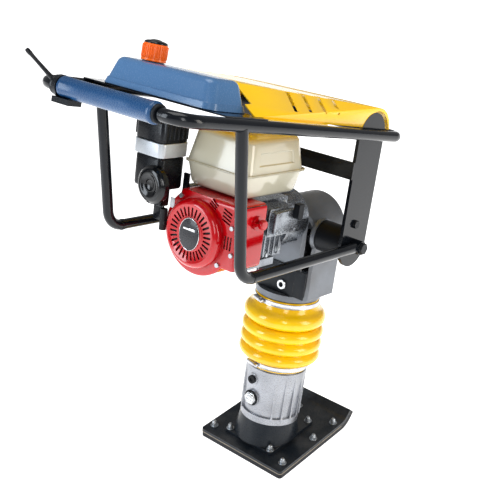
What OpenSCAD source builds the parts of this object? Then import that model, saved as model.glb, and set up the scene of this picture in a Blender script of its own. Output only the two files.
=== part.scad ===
// Jumping jack rammer: a petrol tamping rammer with a spring-loaded foot, a crank drive, a small
// engine, a rubber-mounted tube frame, a fuel tank and a sheet-metal hood.
// The x axis points to the toe of the shoe, y to the left and z up. The origin is on the ground
// under the leg. The leg, the crankcase and the engine lean forward together.

/* [Shoe] */
// Width of the shoe from side to side
shoe_w = 275; // [255:5:295]
// Distance from the origin back to the rear edge of the shoe
shoe_back = 120; // [110:5:135]
// Distance from the origin forward to where the nose turns up
nose_x = 150; // [140:5:165]
// Thickness of the laminated sole
sole_t = 14; // [10:1:18]
// Thickness of the steel plate on the sole
plate_t = 9; // [7:1:11]

/* [Leg] */
// Forward lean of the leg in degrees
lean = 10; // [6:1:13]
// Radius of the leg casting under the bellows
leg_r = 80; // [78:1:84]
// Largest radius of the bellows folds
fold_r = 107; // [102:1:112]
// Outer radius of the sliding spring cylinder
cylinder_r = 58; // [56:0.5:60]
// Diameter of the piston rod
rod_d = 28; // [24:1:32]

/* [Crankcase] */
// Half width of the crankcase from side to side
case_w = 85; // [82:1:88]
// Height of the engine axis along the leg
engine_v = 645; // [640:1:650]
// Number of teeth on the crank gear
gear_teeth = 56; // [56:1:56]
// Number of teeth on the pinion
pinion_teeth = 16; // [16:1:16]
// Crank throw
crank_throw = 25; // [20:1:25]

/* [Engine] */
// Radius of the recoil cover
recoil_r = 76; // [72:1:78]
// Number of cooling slots around the recoil cover
slot_count = 30; // [24:1:32]
// Length of the engine's own fuel tank from front to back
engine_tank_l = 212; // [190:2:216]

/* [Frame] */
// Distance from the middle to the centre of each side tube
frame_y = 193; // [193:1:200]
// Outer radius of the frame tube
tube_r = 12.5; // [11:0.5:12.5]
// Height of the top loop above the ground, at the leg's foot
loop_z = 903; // [900:1:906]
// Downward slope of the top loop toward the front, in degrees
loop_slope = 15.6; // [15:0.1:16]
// Radius of the rubber buffers
buffer_r = 38; // [34:1:40]

/* [Tank and handle] */
// Half width of the blue fuel tank
tank_w = 148; // [135:1:155]
// Height of the fuel tank above its tray
tank_h = 57; // [50:1:70]
// Radius of the handle grip
grip_r = 20; // [17:1:22]
// Radius of the fuel tank cap
cap_r = 26; // [24:1:28]

/* [Hidden] */
$fn = 64;
hull_fn = 28;

// Shoe
shoe_top = sole_t + plate_t;
nose_r = 60;
nose_deg = 45;
nose_l = 20;
flange_x = 5;
flange_l = 186;
flange_y = 160;
flange_t = 10;
flange_top = shoe_top + flange_t;

// Leg, as distances along its axis
leg_x = -12;
ankle_v = 80;
ring_top = 98;
casting_top = 228;
spigot_top = 262;
spigot_r = leg_r - 4;
casting_bore = 69;
cylinder_base = 92;
cylinder_wall = 6;
cylinder_top = 385;
cylinder_bore = cylinder_r - cylinder_wall;
running = 0.05;
guide_wall = 6;
guide_low = 280;
guide_top = 440;
neck_low = 405;
piston_v = 242;
piston_h = 20;
spring_wire = 5;
spring_r = cylinder_bore - spring_wire - 5;
fold_v = [271, 303, 336, 375];
fold_h = [17, 17, 17, 24];
clamp_low_v = 236;
clamp_high_v = 410;
clamp_h = 13;
clamp_r = leg_r + 4;
lip_t = 5.5;

// Crank drive
gear_v = engine_v - 90;
gear_module = 2.5;
gear_pitch_r = gear_module * gear_teeth / 2;
pinion_pitch_r = gear_module * pinion_teeth / 2;
gear_u = 23.5;
gear_t = 14;
gear_shaft_r = 15;
bearing_r = 31;
bearing_w = 14;
wrist_v = gear_v - crank_throw - 95;
wrist_r = 9;
crank_pin_r = 20;
rod_half = 10;
fork_gap = 0.3;
shaft_r = 10;

// Crankcase
case_back = -60;
case_front = 84;
case_wall = 7;
dome_v = engine_v - 43;
cover_r = 78;
cover_t = 8;
seat_r = 66;

// Engine, with its axis along u
bell_back = -150;
bell_r = 68;
drum_r = 56;
drum_back = -138;
block_back = -290;
block_w = 62;
block_low = engine_v - 68;
block_high = engine_v + 72;
shroud_back = -382;
shroud_front = -296;
shroud_r = 96;
shroud_side = -116;
recoil_back = -404;
tank_back = -355;
tank_side_far = 85;
tank_side_near = -95;
seam_v = 790;
cleaner_back = -420;
cleaner_y = 88.5;
cleaner_w = 88;
cleaner_l = 82;

// Frame
plate_in = 172.5;
side_plate_t = 8;
plate_u = -26;
plate_low_v = 613;
plate_high_v = 877;
plate_half = 52;
upright_x = -355;
upright_bend = 45;
collar_l = 8;
loop_back = -524;
loop_front = 233;
loop_bend = 40;
roll_r = 62;
roll_u = -15;
sheet_t = 2;
hood_back = -318;
hood_rise = 68;
tank_s = -356;
tank_l = 112;
tray_n = 15;
neck_y = 68;
lever_y = 139;

module leaned() {
    translate([leg_x, 0, 0]) rotate([0, lean, 0]) children();
}

// Frame-plane coordinates: x runs down the top loop toward the front, z is square to the loop
module on_loop() {
    translate([0, 0, loop_z]) rotate([0, loop_slope, 0]) children();
}

// Turns a shape drawn along z so that it runs along the engine axis, from front to back
module along_u(u, y, v) {
    translate([u, y, v]) rotate([0, 90, 0]) children();
}

// Turns a shape drawn along z so that it runs toward the left side
module along_y(u, y, v) {
    translate([u, y, v]) rotate([-90, 0, 0]) children();
}

module both_sides() {
    children();
    mirror([0, 1, 0]) children();
}

module ring(r_out, r_in, h) {
    difference() {
        cylinder(r = r_out, h = h);
        translate([0, 0, -1]) cylinder(r = r_in, h = h + 2);
    }
}

module rounded_plan(x0, x1, w, r) {
    translate([x0 + r, -w / 2]) square([x1 - x0 - 2 * r, w]);
    translate([x0, -w / 2 + r]) square([x1 - x0, w - 2 * r]);
    for (x = [x0 + r, x1 - r], y = [-w / 2 + r, w / 2 - r]) translate([x, y]) circle(r = r);
}

module dome_nut(r, h) {
    cylinder(r = r * 1.35, h = 2);
    translate([0, 0, 2]) cylinder(r = r, h = h * 0.55, $fn = 6);
    translate([0, 0, 2 + h * 0.55]) cylinder(r = r * 0.72, h = h * 0.25);
    translate([0, 0, 2 + h * 0.8]) intersection() {
        sphere(r = r * 0.72);
        cylinder(r = r, h = r);
    }
}

// A flat slab whose front end curves upward, as one layer of the shoe
module bent_slab(low, thick) {
    intersection() {
        union() {
            translate([-shoe_back, -shoe_w / 2, low]) cube([shoe_back + nose_x, shoe_w, thick]);
            translate([nose_x, shoe_w / 2, nose_r]) rotate([90, 0, 0]) rotate([0, 0, -90])
                rotate_extrude(angle = nose_deg)
                    translate([nose_r - low - thick, 0]) square([thick, shoe_w]);
            translate([nose_x, 0, nose_r]) rotate([0, -nose_deg, 0])
                translate([0, -shoe_w / 2, low - nose_r]) cube([nose_l, shoe_w, thick]);
        }
        linear_extrude(120) rounded_plan(-shoe_back, nose_x + 62, shoe_w, 9);
    }
}

module sole_plate() {
    color("#15171c") bent_slab(0, sole_t);
}

module shoe_plate() {
    color("#20242b") bent_slab(sole_t, plate_t);
}

module shoe_nuts() {
    color("silver") for (x = [-87, 46, nose_x - 12]) both_sides()
        translate([x, 118, shoe_top]) dome_nut(8, 12);
    color("silver") translate([nose_x - 12, 0, shoe_top]) dome_nut(8, 12);
}

module ankle_flange() {
    color("#1b1d22") {
        translate([0, 0, shoe_top]) linear_extrude(flange_t)
            rounded_plan(flange_x - flange_l / 2, flange_x + flange_l / 2, flange_y, 6);
        difference() {
            leaned() cylinder(r1 = leg_r + 12, r2 = leg_r - 3, h = ankle_v);
            translate([-200, -200, -30]) cube([400, 400, 30 + flange_top]);
        }
    }
}

module flange_nuts() {
    color("silver") for (x = [-1, 1], y = [-1, 1])
        translate([flange_x + x * 82, y * 69, flange_top]) dome_nut(8, 13);
}

module leg_casting() {
    color("#9a9ca0") leaned() difference() {
        union() {
            translate([0, 0, ankle_v]) cylinder(r = leg_r - 2, h = ring_top - ankle_v);
            translate([0, 0, ring_top])
                cylinder(r1 = leg_r - 7, r2 = leg_r, h = casting_top - ring_top);
            translate([0, 0, casting_top]) cylinder(r = spigot_r, h = spigot_top - casting_top);
            for (a = [-140 : 20 : 140]) rotate([0, 0, a])
                translate([leg_r - 14, -2.5, ring_top - 4]) cube([14, 5, casting_top - ring_top + 2]);
            along_u(-leg_r - 1, 12, 196) cylinder(r = 16, h = 30);
            along_u(-leg_r - 1, 8, 144) cylinder(r = 22, h = 30);
        }
        translate([0, 0, cylinder_base]) cylinder(r = casting_bore, h = spigot_top);
    }
}

module filler_plug() {
    color("#222222") leaned() difference() {
        along_u(-leg_r - 6, 12, 196) cylinder(r = 11, h = 5);
        along_u(-leg_r - 7, 12, 196) cylinder(r = 5, h = 3);
    }
}

module sight_plug() {
    color("silver") leaned() difference() {
        union() {
            along_u(-leg_r - 8, 8, 144) cylinder(r = 18, h = 7, $fn = 6);
            along_u(-leg_r - 12, 8, 144) cylinder(r = 9, h = 5);
        }
        translate([-leg_r - 13, -2, 143]) cube([3, 20, 2]);
    }
}

// A worm-drive hose clamp: a band, a screw housing and its screw
module clamp(v, turn) {
    translate([0, 0, v]) ring(clamp_r, clamp_r - 1.5, clamp_h);
    rotate([0, 0, turn]) {
        translate([clamp_r - 1, -13, v + 0.5]) cube([10, 26, clamp_h - 1]);
        along_y(clamp_r + 4, 13, v + clamp_h / 2) cylinder(r = 5, h = 12);
    }
}

module lower_clamp() {
    color("lightgray") leaned() clamp(clamp_low_v, 166);
}

module upper_clamp() {
    color("lightgray") leaned() clamp(clamp_high_v, 158);
}

module spring_cylinder() {
    color("#b0b2b5") leaned() {
        translate([0, 0, cylinder_base]) cylinder(r = casting_bore - 0.5, h = 12);
        translate([0, 0, cylinder_base + 12])
            ring(cylinder_r, cylinder_bore, cylinder_top - cylinder_base - 12);
        translate([0, 0, cylinder_top - 7]) ring(cylinder_bore, rod_d / 2 + 1, 7);
    }
}

// A coil spring: a round wire swept along a helix, with both ends cut flat by its seats
module coil(low, high, turns) {
    steps = 20 * turns;
    sides = 7;
    rise = high - low - 2 * spring_wire - 1;
    points = [for (i = [0 : steps], k = [0 : sides - 1])
        let (a = 360 * turns * i / steps, b = 360 * k / sides, r = spring_r + spring_wire * cos(b))
        [r * cos(a), r * sin(a), low + 0.5 + spring_wire + rise * i / steps + spring_wire * sin(b)]];
    skin = [for (i = [0 : steps - 1], k = [0 : sides - 1])
        [i * sides + k, i * sides + (k + 1) % sides,
         (i + 1) * sides + (k + 1) % sides, (i + 1) * sides + k]];
    start = [for (k = [sides - 1 : -1 : 0]) k];
    end = [for (k = [0 : sides - 1]) steps * sides + k];
    polyhedron(points, concat(skin, [start, end]), convexity = 10);
}

module lower_spring() {
    color("#4a5058") leaned() coil(cylinder_base + 12, piston_v, 5);
}

module upper_spring() {
    color("#4a5058") leaned() coil(piston_v + piston_h, cylinder_top - 7, 4);
}

// Rubber bellows: a lip, a neck and round folds, all turned about the leg
module bellows() {
    color("gold") leaned() rotate_extrude() difference() {
        union() {
            translate([spigot_r + 0.3, clamp_low_v - 4]) square([lip_t, 32]);
            translate([spigot_r + 0.3, clamp_low_v + 16])
                square([18, clamp_high_v - clamp_low_v - 22]);
            translate([spigot_r + 0.3, clamp_high_v - 14]) square([lip_t, 30]);
            for (i = [0 : 3]) translate([fold_r - fold_h[i], fold_v[i]])
                circle(r = fold_h[i], $fn = 40);
        }
        for (i = [0 : 3]) translate([fold_r - fold_h[i] - 3, fold_v[i]])
            circle(r = fold_h[i] - 3.5, $fn = 32);
        square([spigot_r + 0.3, 500]);
    }
}

module guide_cylinder() {
    color("#8d9094") leaned() translate([0, 0, guide_low])
        ring(cylinder_r + running + guide_wall, cylinder_r + running, guide_top - guide_low);
}

// The crankcase outline square to the engine axis: flat sides under a round top
module case_outline(half, floor_v) {
    translate([-half, floor_v]) square([2 * half, dome_v - floor_v]);
    translate([0, dome_v]) circle(r = half);
}

module case_block(back, front, half, floor_v) {
    translate([back, 0, 0]) rotate([90, 0, 90]) linear_extrude(front - back)
        case_outline(half, floor_v);
}

module crankcase() {
    color("#8a8d92") leaned() difference() {
        union() {
            intersection() {
                case_block(case_back, case_front, case_w, neck_low + 32);
                linear_extrude(900) polygon([
                    [case_back, -case_w + 26], [case_back + 26, -case_w], [case_front - 8, -case_w],
                    [case_front, -case_w + 8], [case_front, case_w - 8], [case_front - 8, case_w],
                    [case_back + 26, case_w], [case_back, case_w - 26]]);
            }
            translate([0, 0, neck_low]) cylinder(r = leg_r - 4, h = 24);
            translate([0, 0, neck_low + 24]) cylinder(r = case_w - 2, h = 16);
            for (side = [-1, 1]) along_y(plate_u, side * (case_w + 4.5) - 5.5, plate_low_v)
                cylinder(r = buffer_r + 3, h = 11);
            for (y = [-60, 60]) translate([case_front - 10, y - 8, neck_low + 50]) cube([18, 16, 14]);
        }
        case_block(case_back + case_wall, case_front - case_wall, case_w - case_wall, neck_low + 42);
        translate([0, 0, neck_low - 1])
            cylinder(r = cylinder_r + running + guide_wall, h = 60);
        along_u(case_front - 20, 0, gear_v) cylinder(r = seat_r, h = 30);
        along_u(case_back - 5, 0, engine_v) cylinder(r = shaft_r + running, h = 20);
    }
}

module crankcase_cover() {
    color("#94979b") leaned() difference() {
        union() {
            along_u(case_front, 0, gear_v) cylinder(r = cover_r, h = cover_t);
            along_u(case_front - case_wall, 0, gear_v) cylinder(r = seat_r - 0.5, h = case_wall + 1);
            along_u(gear_u + gear_t + 3, 0, gear_v)
                cylinder(r = bearing_r + 7, h = case_front - gear_u - gear_t);
        }
        along_u(gear_u + gear_t + 2, 0, gear_v) cylinder(r = bearing_r, h = 47);
    }
}

module cover_bolts() {
    color("silver") leaned() for (a = [0 : 60 : 300])
        along_u(case_front + cover_t, 72 * cos(a), gear_v + 72 * sin(a))
            cylinder(r = 6.5, h = 5, $fn = 6);
}

module neck_bracket() {
    color("#2a2c30") leaned() difference() {
        union() {
            translate([case_back - 4, -case_w + 28, neck_low + 41]) cube([4, 112, 77]);
            translate([case_back - 4, -case_w - 4, neck_low + 42]) cube([4, 34, 70]);
        }
        along_u(case_back - 5, -case_w + 62, neck_low + 64) cylinder(r = 9, h = 6);
    }
    color("silver") leaned() along_u(case_back - 10, -case_w + 62, neck_low + 64)
        ring(13, 6, 6);
}

module gear_bearings() {
    color("#c4c8cc") leaned() for (u = [gear_u + gear_t + 6, gear_u + gear_t + 26])
        along_u(u, 0, gear_v) ring(bearing_r, gear_shaft_r + running, bearing_w);
}

module rubber_buffers() {
    color("#17181a") leaned() both_sides() {
        along_y(plate_u, case_w + 10, plate_low_v) cylinder(r = buffer_r, h = 74);
        along_y(plate_u, case_w + 84, plate_low_v) cylinder(r = buffer_r - 4, h = 3.2);
    }
}

// Piston rod with a forked top that carries the wrist pin
module piston_rod() {
    color("#b9bdc2") leaned() {
        translate([0, 0, piston_v + piston_h])
            cylinder(d = rod_d, h = wrist_v - 24 - piston_v - piston_h);
        translate([0, 0, wrist_v - 24]) cylinder(r = 24, h = 6);
        for (u = [-23, rod_half + fork_gap]) {
            translate([u, -18, wrist_v - 24]) cube([23 - rod_half - fork_gap, 36, 24]);
            along_u(u, 0, wrist_v) cylinder(r = 18, h = 23 - rod_half - fork_gap);
        }
        along_u(-23, 0, wrist_v) cylinder(r = wrist_r, h = 46);
    }
}

module spring_piston() {
    color("#9ea2a8") leaned() translate([0, 0, piston_v]) cylinder(r = cylinder_bore - 0.5, h = piston_h);
}

module connecting_rod() {
    big_v = gear_v - crank_throw;
    color("#a7abb0") leaned() difference() {
        union() {
            along_u(-rod_half, 0, wrist_v) cylinder(r = 17, h = 2 * rod_half);
            along_u(-rod_half, 0, big_v) cylinder(r = 30, h = 2 * rod_half);
            translate([-6, -11, wrist_v + 10]) cube([12, 22, big_v - wrist_v - 30]);
        }
        along_u(-rod_half - 1, 0, wrist_v) cylinder(r = wrist_r + running, h = 2 * rod_half + 2);
        along_u(-rod_half - 1, 0, big_v) cylinder(r = crank_pin_r, h = 2 * rod_half + 2);
    }
}

module crank_pin() {
    color("#c9cdd2") leaned() along_u(-rod_half - 1, 0, gear_v - crank_throw)
        cylinder(r = crank_pin_r, h = gear_u + rod_half + 0.4);
}

// A spur gear outline with tapered teeth; turn = 0 puts a tooth on the x axis
module gear_outline(teeth, turn) {
    pitch_r = gear_module * teeth / 2;
    root_r = pitch_r - gear_module * 1.25;
    tip_r = pitch_r + gear_module * 0.85;
    circle(r = root_r + 0.1);
    for (i = [0 : teeth - 1]) rotate(turn + i * 360 / teeth) polygon([
        [root_r - 1, -2.3], [pitch_r, -1.55], [tip_r, -0.75], [tip_r, 0.75], [pitch_r, 1.55],
        [root_r - 1, 2.3]]);
}

module crank_gear() {
    color("#7d8186") leaned() {
        along_u(gear_u, 0, gear_v) linear_extrude(gear_t) difference() {
            gear_outline(gear_teeth, 0);
            for (a = [0 : 60 : 300]) rotate(a + 30) translate([40, 0]) circle(r = 9);
        }
        along_u(gear_u + gear_t, 0, gear_v) cylinder(r = gear_shaft_r + 6, h = 5);
        along_u(gear_u + gear_t, 0, gear_v) cylinder(r = gear_shaft_r, h = 46);
    }
}

module pinion_shaft() {
    color("#b4b8bd") leaned() {
        along_u(gear_u - 1, 0, engine_v) linear_extrude(gear_t + 2)
            gear_outline(pinion_teeth, 180 / pinion_teeth);
        along_u(drum_back + 24, 0, engine_v) cylinder(r = shaft_r, h = gear_u - drum_back - 20);
    }
}

module clutch_drum() {
    color("#6c7076") leaned() {
        along_u(drum_back, 0, engine_v) ring(drum_r, drum_r - 4, 30);
        along_u(drum_back + 26, 0, engine_v) ring(drum_r - 3, shaft_r, 4);
        along_u(drum_back + 30, 0, engine_v) ring(20, shaft_r, 12);
    }
}

module bell_housing() {
    color("#85888d") leaned() difference() {
        union() {
            along_u(bell_back, 0, engine_v) cylinder(r = bell_r, h = case_back - bell_back);
            along_u(bell_back, 0, engine_v) cylinder(r = bell_r + 7, h = 8);
            for (a = [15 : 30 : 345]) along_u(bell_back, 0, engine_v) rotate([0, 0, a])
                translate([bell_r - 4, -2.5, 0]) cube([9, 5, 78]);
        }
        along_u(bell_back - 1, 0, engine_v) cylinder(r = drum_r + 5, h = 60);
        along_u(bell_back + 50, 0, engine_v) cylinder(r = shaft_r + running, h = 50);
        along_u(bell_back + 50, 0, engine_v) cylinder(r = 24, h = 30);
    }
}

module clutch_shoes() {
    color("#5a5348") leaned() difference() {
        along_u(drum_back + 2, 0, engine_v) ring(drum_r - 5.5, 11, 20);
        for (v = [-1, 1]) translate([drum_back, v * 14 - 3 * v - 3, engine_v - 60]) cube([26, 6, 44]);
        for (v = [-1, 1]) translate([drum_back, v * 14 - 3 * v - 3, engine_v + 16]) cube([26, 6, 44]);
    }
}

module crankshaft() {
    color("#c0c4c8") leaned() {
        along_u(shroud_back + 4, 0, engine_v) cylinder(r = 11, h = drum_back + 22 - shroud_back - 4);
        along_u(-236, 0, engine_v) cylinder(r = 34, h = 10);
        along_u(-214, 0, engine_v) cylinder(r = 34, h = 10);
    }
}

module flywheel_fan() {
    color("#707478") leaned() difference() {
        union() {
            along_u(-330, 0, engine_v) ring(80, 11, 12);
            for (a = [0 : 30 : 330]) along_u(-354, 0, engine_v) rotate([0, 0, a])
                translate([44, -2, 0]) cube([34, 4, 25]);
        }
        along_u(-340, 0, engine_v) cylinder(r = 11, h = 40);
    }
}

module engine_block() {
    color("#8b8e92") leaned() difference() {
        union() {
            translate([block_back, -block_w, block_low])
                cube([bell_back - block_back, 2 * block_w, block_high - block_low]);
            translate([block_back + 20, -block_w - 6, block_low - 18]) cube([90, 2 * block_w + 12, 18]);
            for (u = [block_back + 14 : 18 : bell_back - 14])
                translate([u, -block_w - 5, block_low + 4]) cube([4, 2 * block_w + 10, 60]);
        }
        translate([block_back + 8, -block_w + 8, block_low + 8])
            cube([bell_back - block_back - 16, 2 * block_w - 16, block_high - block_low - 16]);
        along_u(block_back - 1, 0, engine_v) cylinder(r = 11 + running, h = 160);
    }
}

// Cooling fins around the cylinder barrel, with the rocker cover outside them
module cylinder_head() {
    color("#a3a6aa") leaned() {
        translate([-262, -block_w - 47, engine_v + 14]) cube([70, 46.5, 44]);
        for (y = [0 : 6]) translate([-275, -block_w - 9 - y * 6.5, engine_v + 4]) cube([96, 3, 64]);
        translate([-268, -block_w - 62, engine_v + 10]) cube([82, 15, 54]);
    }
}

module spark_plug() {
    color("#25272a") leaned() {
        along_y(-200, -block_w - 77, engine_v + 52) cylinder(r = 9, h = 15);
        translate([-209, -block_w - 77, engine_v + 52]) cube([18, 15, 26]);
    }
}

module muffler() {
    color("#4e5054") leaned() difference() {
        union() {
            translate([-262, block_w + 5.3, engine_v - 67.5]) cube([104, 58, 71.5]);
            along_y(-180, block_w + 5.1, engine_v - 34) cylinder(r = 12, h = 3);
        }
        for (i = [0 : 6]) translate([-252 + i * 13, block_w + 58, engine_v - 60]) cube([6, 8, 54]);
    }
}

module carburetor() {
    color("#7c7f83") leaned() {
        translate([-270, block_w + 0.5, engine_v + 20]) cube([52, 24, 52]);
        along_u(-333.7, block_w + 20, engine_v + 72) cylinder(r = 11, h = 66);
        along_y(-244, block_w + 24, engine_v + 36) cylinder(r = 14, h = 14);
    }
}

module air_cleaner_top() {
    color("#1a1b1e") leaned() {
        translate([cleaner_back, cleaner_y, 821]) cube([cleaner_l, cleaner_w, 44]);
        for (i = [0 : 5]) translate([cleaner_back + 4 + i * 13, cleaner_y - 3, 829])
            cube([6, cleaner_w + 6, 42]);
    }
}

module air_cleaner_band() {
    color("silver") leaned() translate([cleaner_back - 3, cleaner_y - 1, 789])
        cube([cleaner_l + 6, cleaner_w + 2, 32]);
}

module air_cleaner_base() {
    color("#1d1e21") leaned() {
        translate([cleaner_back + 2, cleaner_y + 2, 715]) cube([cleaner_l - 4, cleaner_w - 4, 74]);
        translate([-380, cleaner_y + 24, 678]) cube([26, 40, 38]);
        translate([-340, cleaner_y - 10, 706]) cube([6, 14, 46]);
        translate([-356, 130, 630]) cube([5, 30, 54]);
    }
}

module air_cleaner_bowl() {
    color("#0f1012") leaned() difference() {
        union() {
            along_u(cleaner_back - 12, 101, 731) cylinder(r = 42, h = 14);
            along_u(cleaner_back - 18, 101, 731) ring(37, 26, 8);
        }
        along_u(cleaner_back - 19, 101, 731) cylinder(r = 11, h = 12);
    }
}

// Shroud outline square to the engine axis: a round housing with a square shoulder to one side
module shroud_outline(grow) {
    intersection() {
        translate([0, engine_v]) circle(r = shroud_r + grow);
        translate([-shroud_r, engine_v - shroud_r - 10]) square([2 * shroud_r, shroud_r + 97 + grow]);
    }
    translate([shroud_side - grow, engine_v - 58 - grow])
        square([-shroud_side + 60 + 2 * grow, 145 + 2 * grow]);
}

module fan_shroud() {
    color("#c00820") leaned() difference() {
        translate([shroud_back, 0, 0]) rotate([90, 0, 90])
            linear_extrude(shroud_front - shroud_back) shroud_outline(0);
        translate([shroud_back + 3, 0, 0]) rotate([90, 0, 90])
            linear_extrude(shroud_front - shroud_back) shroud_outline(-3);
        along_u(shroud_back - 1, 0, engine_v) cylinder(r = recoil_r - 8, h = 6);
        for (i = [0 : 2]) translate([shroud_back - 1, -93 + i * 8, engine_v - 12]) cube([6, 4, 30]);
        for (i = [0 : 3]) translate([shroud_back - 1, -88, engine_v + 46 + i * 7]) cube([6, 26, 3.5]);
        for (i = [0 : 3]) translate([shroud_back - 1, -52, engine_v + 68 + i * 6]) cube([6, 24, 3]);
    }
}

module recoil_cover() {
    color("#cc1026") leaned() difference() {
        union() {
            along_u(recoil_back + 8, 0, engine_v) cylinder(r = recoil_r, h = 14);
            along_u(recoil_back, 0, engine_v) cylinder(r1 = recoil_r - 8, r2 = recoil_r, h = 8);
            translate([recoil_back + 10, 60, engine_v - 14]) cube([12, 22, 28]);
        }
        along_u(recoil_back + 3, 0, engine_v) cylinder(r = recoil_r - 6, h = 20);
        for (i = [0 : slot_count - 1]) along_u(recoil_back - 1, 0, engine_v)
            rotate([0, 0, i * 360 / slot_count]) translate([33, -2, 0]) cube([25, 4, 6]);
        translate([recoil_back + 10, 60, engine_v - 3]) cube([6, 30, 6]);
    }
}

module shroud_screws() {
    color("gainsboro") leaned() for (p = [[53, 70], [-104, -20], [-98, 38], [-70, -52]])
        along_u(shroud_back - 4, p[0], engine_v + p[1]) cylinder(r = 5, h = 4);
}

module starter_pulley() {
    color("#d8d8d0") leaned() difference() {
        union() {
            along_u(recoil_back + 6, 0, engine_v) cylinder(r = 60, h = 3);
            along_u(recoil_back + 9, 0, engine_v) cylinder(r = 54, h = 6);
            along_u(recoil_back + 15, 0, engine_v) cylinder(r = 60, h = 3);
        }
        along_u(recoil_back + 5, 0, engine_v) cylinder(r = 14, h = 15);
    }
}

module starter_grip() {
    color("#1c1c1e") leaned() {
        along_y(recoil_back + 13, 83, engine_v) cylinder(r = 6, h = 10);
        translate([recoil_back + 13, 92.5, engine_v - 18]) cylinder(r = 8, h = 48);
    }
}

module engine_switch() {
    color("#b01020") leaned() {
        along_y(-326, shroud_side - 6, engine_v + 48) cylinder(r = 15, h = 5.7);
        translate([-341, shroud_side - 14, engine_v + 45]) cube([30, 8.5, 6]);
    }
}

// One half of the engine's steel fuel tank: a shell from the seam to a smaller end face
module tank_half(wide_v, end_v, inset, grow) {
    mid_y = (tank_side_far + tank_side_near) / 2;
    half_y = (tank_side_far - tank_side_near) / 2 + grow;
    front = tank_back + engine_tank_l;
    hull() for (p = [[wide_v, 0], [end_v, inset]], u = [tank_back - grow, front + grow], y = [-1, 1])
        translate([u + (u < -250 ? 26 + p[1] : -26 - p[1]), mid_y + y * (half_y - 26 - p[1]),
            p[0] + (p[0] < seam_v ? (p[1] > 0 ? -grow : 0) : (p[1] > 0 ? grow : 0)) - 1])
            cylinder(r = 26, h = 2, $fn = hull_fn);
}

module engine_tank_lower() {
    color("#c2bda8") leaned() {
        difference() {
            tank_half(seam_v - 3, 734, 10, 0);
            tank_half(seam_v - 0.5, 737, 10, -3);
        }
        difference() {
            translate([tank_back - 5, tank_side_near - 5, seam_v - 4])
                cube([engine_tank_l + 10, tank_side_far - tank_side_near + 7, 2]);
            translate([tank_back + 10, tank_side_near + 10, seam_v - 6])
                cube([engine_tank_l - 20, tank_side_far - tank_side_near - 20, 8]);
        }
    }
}

module engine_tank_upper() {
    color("#cfcab6") leaned() {
        difference() {
            tank_half(seam_v + 1, 862, 12, 0);
            tank_half(seam_v - 1, 859, 12, -3);
        }
        difference() {
            translate([tank_back - 5, tank_side_near - 5, seam_v - 2])
                cube([engine_tank_l + 10, tank_side_far - tank_side_near + 7, 2]);
            translate([tank_back + 10, tank_side_near + 10, seam_v - 6])
                cube([engine_tank_l - 20, tank_side_far - tank_side_near - 20, 8]);
        }
    }
}

module side_plates() {
    color("#1b1c20") leaned() both_sides() difference() {
        along_y(plate_u, plate_in, 0) linear_extrude(side_plate_t) union() {
            translate([0, -plate_low_v]) circle(r = plate_half);
            translate([0, -plate_high_v]) circle(r = plate_half);
            translate([-plate_half, -plate_high_v])
                square([2 * plate_half, plate_high_v - plate_low_v]);
        }
        along_y(plate_u, plate_in - 1, plate_low_v) cylinder(r = 8.3, h = 12);
        along_y(plate_u - 8, plate_in - 1, plate_low_v + 54) cylinder(r = 6.3, h = 12);
    }
}

// Straight tube that runs along x
module tube_x(x0, x1, y, z) {
    translate([x0, y, z]) rotate([0, 90, 0]) cylinder(r = tube_r, h = x1 - x0);
}

module tube_corner(x, y, turn) {
    translate([x, y, 0]) rotate([0, 0, turn]) rotate_extrude(angle = 90)
        translate([loop_bend, 0]) circle(r = tube_r);
}

// The closed top loop: handle bar, two side rails and the front bar
module top_loop() {
    color("#14171c") on_loop() {
        inner = frame_y - loop_bend;
        for (y = [-frame_y, frame_y]) tube_x(loop_back + loop_bend, loop_front - loop_bend, y, 0);
        for (x = [loop_back, loop_front]) translate([x, -inner, 0]) rotate([-90, 0, 0])
            cylinder(r = tube_r, h = 2 * inner);
        tube_corner(loop_front - loop_bend, inner, 0);
        tube_corner(loop_back + loop_bend, inner, 90);
        tube_corner(loop_back + loop_bend, -inner, 180);
        tube_corner(loop_front - loop_bend, -inner, 270);
    }
}

// Each lower tube drops from the loop, turns and runs forward to the side plate
module lower_tubes() {
    run_u = (upright_x - leg_x - plate_low_v * sin(lean)) / cos(lean);
    corner_z = plate_low_v * cos(lean) - run_u * sin(lean);
    back_off = upright_bend * tan((90 - lean) / 2);
    top_z = loop_z - upright_x * tan(loop_slope);
    color("#14171c") for (side = [-1, 1]) {
        y = side * frame_y;
        difference() {
            translate([upright_x, y, corner_z + back_off])
                cylinder(r = tube_r - 0.5, h = top_z - corner_z - back_off);
            on_loop() translate([loop_back, y, 0]) rotate([0, 90, 0])
                cylinder(r = tube_r + running, h = 400);
        }
        translate([upright_x + upright_bend, y, corner_z + back_off]) rotate([90, 0, 0])
            rotate([0, 0, 180]) rotate_extrude(angle = 90 - lean)
                translate([upright_bend, 0]) circle(r = tube_r - 0.5);
        leaned() difference() {
            union() {
                translate([run_u + back_off, y, plate_low_v]) rotate([0, 90, 0])
                    cylinder(r = tube_r - 0.5, h = plate_u - run_u - back_off);
                translate([run_u + back_off - collar_l / 2, y, plate_low_v]) rotate([0, 90, 0])
                    cylinder(r = tube_r + 0.4, h = collar_l);
                along_y(plate_u, y - 12, plate_low_v) cylinder(r = 17, h = 24);
            }
            along_y(plate_u, y - 20, plate_low_v) cylinder(r = 8.3, h = 40);
        }
    }
}

// Flat bar between the side plates, and the tray under the fuel tank
module cross_members() {
    color("#1d1f24") leaned()
        translate([plate_u - plate_half - 6, -plate_in - side_plate_t, 778])
            cube([6, 2 * plate_in + 2 * side_plate_t, 40]);
    color("#1d1f24") on_loop() difference() {
        translate([tank_s - 62, -frame_y, tube_r]) cube([124, 2 * frame_y, tray_n - tube_r]);
        translate([tank_s - 36, -120, tube_r - 1]) cube([72, 240, 5]);
    }
}

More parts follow.
